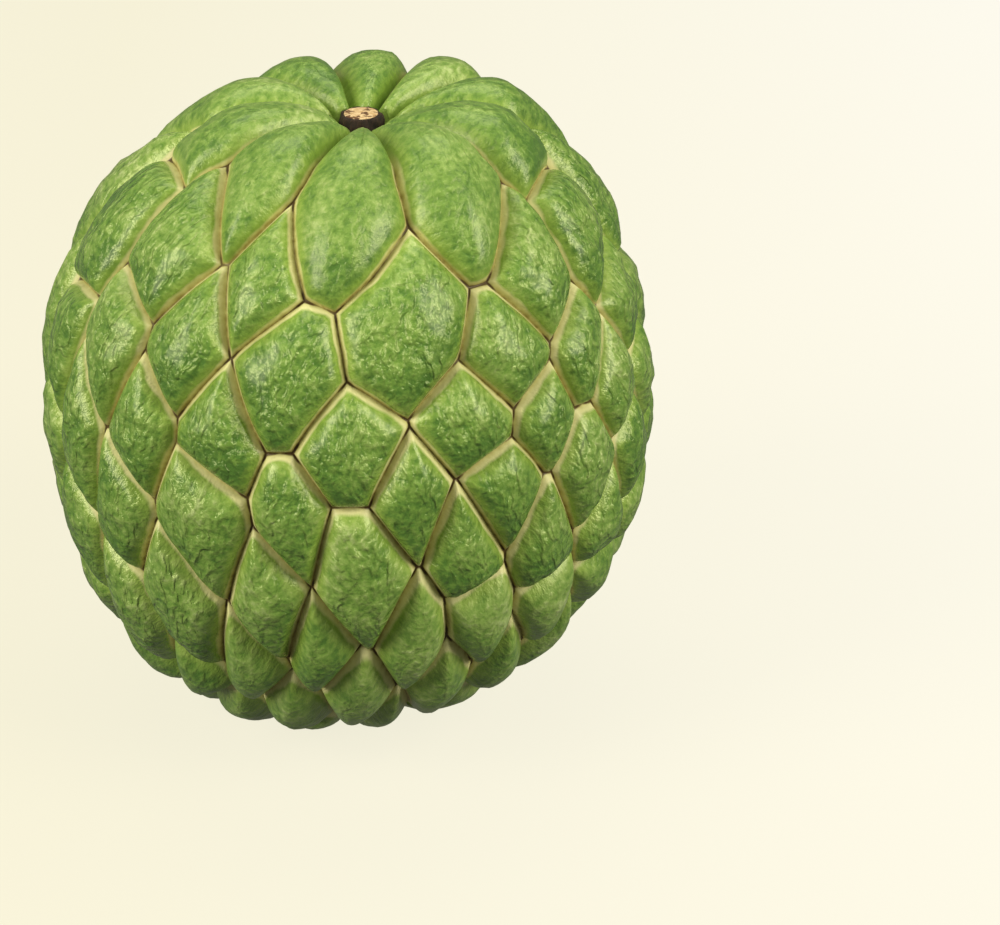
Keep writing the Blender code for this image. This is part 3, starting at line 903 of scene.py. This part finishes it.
    def measure(self, scale: int, sides: list[list[int]], outline: Array, inner: Array, tone: float) -> None:
        """Works out the values that shape and colour the inside of one scale.

        Args:
            scale: its number.
            sides: the point numbers of its seams.
            outline: the numbers of the meeting points round it.
            inner: its inside points on the ball.
            tone: how light it is.
        """
        places = self.form.place(inner)
        nearness = np.zeros(len(inner))
        crack = np.full(len(inner), np.inf)
        for side in sides:
            seam = self.form.place(np.array([self.ball[number] for number in side]))
            distance = distance_to_line(places, seam)
            nearness += distance**-self.corner_softness
            crack = np.minimum(crack, distance)
        corners = self.form.place(self.layout.corners[outline])
        centre = places[-1]
        outward = unit(centre * np.array([1.0, 1.0, (self.form.half_width / self.form.half_height) ** 2]))
        across = np.cross([0.0, 0.0, 1.0], outward)
        across = unit(across) if np.linalg.norm(across) > self.polar else np.array([1.0, 0.0, 0.0])
        downward = np.cross(across, outward)
        chart = (places - centre) @ np.stack([across, downward, outward], axis=1)
        chart[:, 2] += scale * self.chart_step
        lowest = np.abs((corners - centre) @ downward).max()
        count = len(inner)
        for name, value in (
            ("rim", nearness ** (-1 / self.corner_softness)),
            ("crack", crack),
            ("corner", self.distances(places, corners).min(axis=1)),
            ("tone", np.full(count, tone)),
            ("along", chart[:, 1] / lowest),
            ("chart", chart / MM),
            ("row", np.full(count, float(self.layout.rows[scale]))),
        ):
            self.values[name].append(value)

    def stitch(self, outer: list[int], inner: list[int]) -> None:
        """Joins two loops whose points start together and are evenly spread.

        Args:
            outer: the point numbers of the longer loop.
            inner: those of the shorter one, which may be a single point.
        """
        i = j = 0
        last = len(inner) if len(inner) > 1 else 0
        while i < len(outer) or j < last:
            if j == last or (i < len(outer) and (i + 1) * len(inner) <= (j + 1) * len(outer)):
                triangle = (outer[i], outer[(i + 1) % len(outer)], inner[j % len(inner)])
                i += 1
            else:
                triangle = (outer[i % len(outer)], inner[(j + 1) % len(inner)], inner[j])
                j += 1
            self.triangles.append(triangle)

    def build(self) -> bpy.types.Object:
        """Shapes the peel, presses in its flat spot and dresses it.

        Returns:
            The finished piece, riding on the root body in place of the plain fruit.
        """
        form, ball = self.form, np.array(self.ball)
        value = {name: np.concatenate(parts) for name, parts in self.values.items()}
        places, faces = form.place(ball), np.array(self.triangles)
        first, second, third = (places[faces[:, corner]] for corner in range(3))
        across = np.cross(second - first, third - first)
        normals = np.zeros_like(places)
        for corner in range(3):
            np.add.at(normals, faces[:, corner], across)
        normals = unit(normals)

        relief, edge, wall, reach, lean = (
            form.row_values(ball, name) for name in ("relief", "edge", "wall", "reach", "lean")
        )
        from_axis = np.hypot(places[:, 0], places[:, 1])
        near_axis = np.where(places[:, 2] > 0, from_axis, form.half_width)
        edge = np.maximum(np.minimum(edge, self.inner_edge * near_axis), self.least_edge)
        reach = np.maximum(np.minimum(reach, self.inner_reach * near_axis), self.least_edge)
        relief = np.minimum(relief, self.inner_relief * near_axis)
        steep = 1 - np.exp(-((value["rim"] / edge) ** self.wall_power))
        crown = np.clip(value["rim"] / reach, 0, 1)
        raised = relief * (wall * steep + (1 - wall) * (crown * (2 - crown)) ** self.crown_power)
        calm = smooth_step(value["rim"], *self.calm_rim)
        share_of = {ScaleKind.SHIELD: 1.0, ScaleKind.SEAT: 0.0}
        kinds = [ROWS[int(row)].kind for row in value["row"]]
        wrinkled = np.array([share_of.get(kind, self.finish.plump_wrinkles) for kind in kinds])
        for height, size_mm, seed in self.ripples:
            raised += calm * wrinkled * height * ripple(value["chart"], size_mm, seed)
        raised *= value["row"] > 0
        below = normals * normals[:, 2:] - np.array([0.0, 0.0, 1.0])  # shrinks to nothing at both poles
        places = places + (normals + below * lean[:, None]) * raised[:, None]
        places[:, 0] += form.axis_lean * places[:, 2] + form.axis_bow * (places[:, 2] / form.half_height) ** 3
        places[:, 2] = np.maximum(places[:, 2] + form.half_height - form.flat_spot_height, 0.0)
        middle = (places.min(axis=0) + places.max(axis=0)) / 2
        places[:, :2] -= middle[:2]

        near_stalk = (places[:, 2] > form.half_height).astype(float)
        cream = 1 - near_stalk * smooth_step(from_axis, *self.bare_seams)
        piece = make_piece(
            "peel",
            places,
            self.triangles,
            self.finish.material(),
            {
                **{f"{name}_mm": value[name] / MM for name in ("rim", "crack", "corner")},
                "tone": value["tone"],
                "along": value["along"],
                "cream": cream,
                "smooth": wrinkled,
                "chart_mm": value["chart"],
            },
        )
        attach(piece, "root")
        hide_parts("fruit")
        return piece


def distance_to_line(points: Array, line: Array) -> Array:
    """Distance of each point to a line of short straight pieces, and never quite zero.

    Args:
        points: the points.
        line: the line's own points, in order.

    Returns:
        One distance for each point.
    """
    starts, ways = line[:-1], np.diff(line, axis=0)
    away = points[:, None, :] - starts[None, :, :]
    shares = np.clip((away * ways).sum(axis=2) / (ways * ways).sum(axis=1), 0, 1)
    nearest = np.linalg.norm(away - shares[..., None] * ways, axis=2).min(axis=1)
    return np.maximum(nearest, LEAST_DISTANCE)


# ---- The stalk ----


@dataclass
class StalkStub:
    """The cut stub of the stalk: a ragged collar of bark round a disc of cut wood."""

    bark: DryBark = field(default_factory=DryBark)
    wood: CutWood = field(default_factory=CutWood)
    sides: int = 96
    bark_radii_mm: tuple[float, ...] = (1.5, 3.1, 3.5, 3.55, 3.4, 3.35, 3.35, 3.25, 3.1, 2.9, 2.7, 2.55, 1.5)
    bark_heights_mm: tuple[float, ...] = (0.0, 0.0, 0.35, 0.8, 1.3, 1.9, 2.4, 2.9, 3.25, 3.4, 3.4, 3.1, 3.0)
    bark_steps: int = 4  # rings from one radius to the next
    bark_squeeze: float = 0.45  # width of a ridge over its length
    bark_ripples: tuple[tuple[float, float, float], ...] = (  # share, size and seed of ridges and of flakes
        (0.7, 1.4 * MM, 0.0),
        (0.4, 0.6 * MM, 9.0),
    )
    bark_relief: float = 0.44 * MM
    rough_radii: tuple[float, float] = (2.3 * MM, 3.0 * MM)  # where the bark starts to be rough and is so
    ragged_top: float = 0.11 * MM  # how far the bark's upper edge goes up and down
    ragged_from: float = 1.0 * MM
    disc_radius: float = 2.6 * MM
    disc_foot: float = 2.9 * MM
    disc_height: float = 3.45 * MM
    disc_dome: float = 0.12 * MM
    disc_ripple: float = 0.05 * MM
    disc_wave: float = 0.7 * MM
    disc_core: float = 0.04  # the innermost ring's share of the radius
    disc_rings: int = 14

    def loft(self, rings: Array) -> list[tuple[int, ...]]:
        """Faces between rings of points, with both ends closed.

        Args:
            rings: ring, side and place.

        Returns:
            The point numbers of each face.
        """
        count, sides = rings.shape[:2]
        number = np.arange(count * sides).reshape(count, sides)
        faces = [tuple(number[0][::-1]), tuple(number[-1])]
        for low, high in zip(number, number[1:]):
            for i in range(sides):
                j = (i + 1) % sides
                faces.append((low[i], low[j], high[j], high[i]))
        return faces

    def build(self) -> list[bpy.types.Object]:
        """Builds the bark and the cut face on the plain stub's foot.

        Returns:
            Both pieces, riding on the root body in place of the plain stub.
        """
        low, high = (np.array(corner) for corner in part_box("stem_stub"))
        foot = np.array([(low[0] + high[0]) / 2, (low[1] + high[1]) / 2, low[2]])
        turns = np.arange(self.sides) * 2 * math.pi / self.sides
        spokes = np.stack([np.sin(turns), -np.cos(turns), 0 * turns], axis=1)
        last = len(self.bark_radii_mm) - 1
        at = np.linspace(0, last, last * self.bark_steps + 1)
        profile = np.array([self.bark_radii_mm, self.bark_heights_mm]) * MM
        radii, heights = (np.interp(at, np.arange(last + 1), values) for values in profile)
        rings = foot + spokes[None] * radii[:, None, None]
        rings[..., 2] += heights[:, None]
        flat = rings.reshape(-1, 3)
        squashed = flat * np.array([1.0, 1.0, self.bark_squeeze])
        bumps = sum(share * ripple(squashed, size, seed) for share, size, seed in self.bark_ripples)
        bumps = bumps * smooth_step(np.repeat(radii, self.sides), *self.rough_radii)
        flat += np.tile(spokes, (len(radii), 1)) * (bumps * self.bark_relief)[:, None]
        flat[:, 2] += bumps * self.ragged_top * (flat[:, 2] > foot[2] + self.ragged_from)
        flat[:, 2] = np.maximum(flat[:, 2], foot[2])
        collar = make_piece("stalk_bark", flat, self.loft(rings), self.bark.material())

        shares = np.linspace(1.0, self.disc_core, self.disc_rings)
        disc = foot + spokes[None] * (self.disc_radius * shares)[:, None, None]
        disc[..., 2] += self.disc_height + self.disc_dome * (1 - shares**2)[:, None]
        lifted = disc.reshape(-1, 3)
        lifted[:, 2] += self.disc_ripple * ripple(lifted, self.disc_wave)
        base = foot + spokes * self.disc_radius + np.array([0.0, 0.0, self.disc_foot])
        points = np.concatenate([base, lifted])
        faces = self.loft(points.reshape(self.disc_rings + 1, self.sides, 3))
        face = make_piece("cut_face", points, faces, self.wood.material())
        for piece in (collar, face):
            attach(piece, "root")
            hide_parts("stem_stub")
        return [collar, face]


# ---- The studio ----


@dataclass(frozen=True)
class SoftBox:
    """One broad soft light: where it stands as seen from the fruit, its size and its power."""

    name: str
    turn: float  # degrees round from the front towards +X
    rise: float  # degrees over the horizon
    distance: float
    width: float
    height: float
    power: float
    colour: str = "#FFF6DE"


@dataclass
class Studio:
    """A pale paper floor, broad soft lights on both sides and above, and the camera."""

    paper: StudioPaper = field(default_factory=StudioPaper)
    floor_reach: float = 6.0
    sky: str = "#F8F3DF"
    sky_strength: float = 0.19
    rise: float = 26.0  # degrees that the camera looks down
    distance: float = 0.441
    lens: float = 99.0
    sensor: float = 36.0
    aim_right: float = 23.6 * MM  # the fruit stands to the left of the picture's middle
    aim_up: float = -11.2 * MM
    lights: tuple[SoftBox, ...] = (
        SoftBox("left_box", -62, 29, 0.9, 0.4, 0.7, 8.6),
        SoftBox("right_box", 60, 30, 0.9, 0.4, 0.7, 8.2),
        SoftBox("top_box", 180, 70, 0.9, 0.8, 0.5, 3.8),
    )

    def build(self, middle: Vector) -> None:
        """Builds the floor, the lights and the camera.

        Args:
            middle: the middle of the fruit.
        """
        reach = self.floor_reach
        corners = np.array([(-reach, -reach, 0), (reach, -reach, 0), (reach, reach, 0), (-reach, reach, 0)])
        floor = make_piece("floor", corners, [(0, 1, 2, 3)], self.paper.material())
        floor.visible_diffuse = False
        floor.visible_glossy = False

        world = bpy.data.worlds.new("studio")
        world.use_nodes = True
        background = world.node_tree.nodes["Background"]
        background.inputs["Color"].default_value = linear(self.sky)
        background.inputs["Strength"].default_value = self.sky_strength
        bpy.context.scene.world = world
        bpy.context.scene.view_settings.view_transform = "Standard"

        for box in self.lights:
            light = bpy.data.lights.new(box.name, "AREA")
            light.shape = "RECTANGLE"
            light.size, light.size_y = box.width, box.height
            light.energy = box.power
            light.color = linear(box.colour)[:3]
            lamp = add_object(box.name, light)
            way = Vector(direction(box.turn, 90 - box.rise))
            lamp.location = middle + way * box.distance
            lamp.rotation_euler = way.to_track_quat("Z", "Y").to_euler()

        camera = add_object("camera", bpy.data.cameras.new("camera"))
        camera.data.lens, camera.data.sensor_width = self.lens, self.sensor
        back = Vector(direction(0.0, 90 - self.rise))
        up = Vector(direction(180.0, self.rise))
        target = middle + Vector((1, 0, 0)) * self.aim_right + up * self.aim_up
        camera.location = middle + back * self.distance
        camera.rotation_euler = (camera.location - target).to_track_quat("Z", "Y").to_euler()
        bpy.context.scene.camera = camera


def main() -> None:
    """Builds the fruit, its stalk and the studio, in that order."""
    logging.basicConfig(level=logging.INFO, format="%(name)s: %(message)s")
    peel = Peel().build()
    LOG.info("%s: %d points, %d triangles", peel.name, len(peel.data.vertices), len(peel.data.polygons))
    for piece in StalkStub().build():
        LOG.info("%s: %d points, %d faces", piece.name, len(piece.data.vertices), len(piece.data.polygons))
    low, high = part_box("fruit")
    Studio().build(Vector((0.0, 0.0, (low.z + high.z) / 2)))
    LOG.info("studio: floor, lights and camera")


if __name__ == "__main__":
    main()
